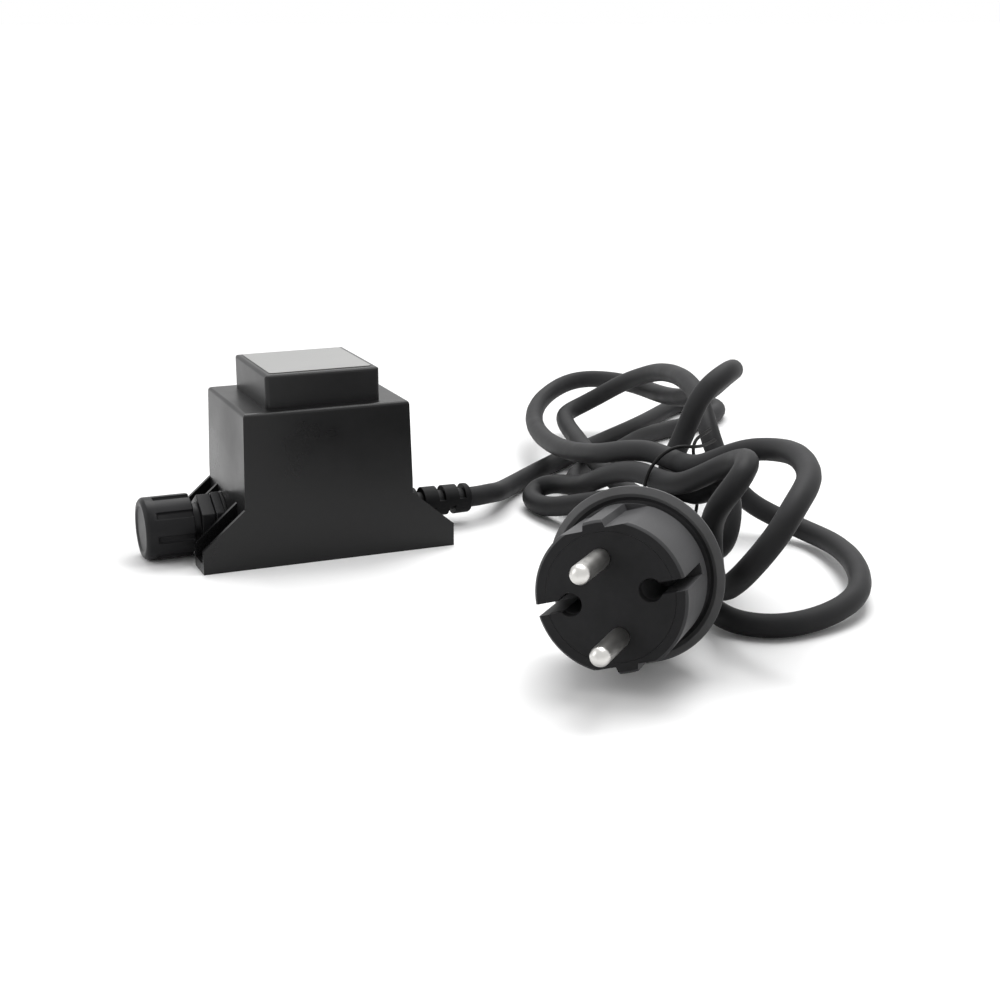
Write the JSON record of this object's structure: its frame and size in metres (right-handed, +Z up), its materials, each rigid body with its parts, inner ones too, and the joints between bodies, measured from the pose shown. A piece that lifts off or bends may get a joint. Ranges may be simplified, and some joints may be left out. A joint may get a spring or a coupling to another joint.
{
  "type": "lighting power supply",
  "caption": "Potted mains transformer in a footed box, with a screw-capped low-voltage outlet on one side and a tied mains cord with plug on the other.",
  "frame": {"origin": "centre of the underside of the unit, between the outlet's cap and the strain relief's end", "axes": "+X from the low-voltage outlet towards the mains cord, +Y to the back, +Z up"},
  "size_m": [0.2516, 0.2764, 0.0555],
  "materials": {
    "housing": "moulded, slightly satin",
    "label_plate": "bare printed-film blank",
    "sealing_compound": "cast resin",
    "core_e": "stacked laminations",
    "core_i": "stacked laminations",
    "bobbin": "moulded nylon",
    "primary_winding": "enamelled copper wire",
    "secondary_winding": "enamelled copper wire",
    "winding_tape": "polyester tape",
    "thermal_fuse": "smooth can",
    "terminal_pins": "tinned",
    "live_wire": "insulated wire",
    "neutral_wire": "insulated wire",
    "output_wire_a": "insulated wire",
    "output_wire_b": "insulated wire",
    "outlet_gasket": "smooth",
    "lock_nut": "moulded",
    "outlet_body": "moulded",
    "contact_carrier": "moulded",
    "outlet_contacts": "turned",
    "cap_seal": "smooth",
    "screw_cap": "moulded",
    "strain_relief": "soft, matte",
    "cord_end": "soft, matte",
    "cord_lead": "soft, matte",
    "cord_hank": "soft, matte",
    "cord_tail": "soft, matte",
    "tie_wire": "coated wire",
    "plug_body": "soft, matte",
    "plug_face": "moulded, fine texture",
    "plug_pins": "nickel plated",
    "pin_crimps": "pressed"
  },
  "bodies": {
    "unit": {"housing": "housing", "label_plate": "label_plate", "sealing_compound": "sealing_compound", "core_e": "core_e", "core_i": "core_i", "bobbin": "bobbin", "primary_winding": "primary_winding", "secondary_winding": "secondary_winding", "winding_tape": "winding_tape", "thermal_fuse": "thermal_fuse", "terminal_pins": "terminal_pins", "live_wire": "live_wire", "neutral_wire": "neutral_wire", "output_wire_a": "output_wire_a", "output_wire_b": "output_wire_b", "outlet_gasket": "outlet_gasket", "lock_nut": "lock_nut", "outlet_body": "outlet_body", "contact_carrier": "contact_carrier", "outlet_contacts": "outlet_contacts", "strain_relief": "strain_relief", "cord_end": "cord_end", "cord_lead": "cord_lead", "cord_hank": "cord_hank", "cord_tail": "cord_tail", "tie_wire": "tie_wire", "plug_body": "plug_body", "plug_face": "plug_face", "plug_pins": "plug_pins", "pin_crimps": "pin_crimps"},
    "seal_ring": {"cap_seal": "cap_seal"},
    "cap": {"screw_cap": "screw_cap"}
  },
  "joints": [
    {"name": "cap_travel", "type": "slide", "parent": "unit", "child": "seal_ring", "axis": [-1, 0, 0], "range_m": [0, 0.0075]},
    {"name": "cap_turn", "type": "hinge", "parent": "seal_ring", "child": "cap", "pos_m": [-0.045, 0, 0.0093], "axis": [-1, 0, 0], "range_deg": [0, 1800]}
  ],
  "couplings": [
    {"joint": "cap_turn", "follows": "cap_travel", "rad_per_m": 4188.8}
  ]
}
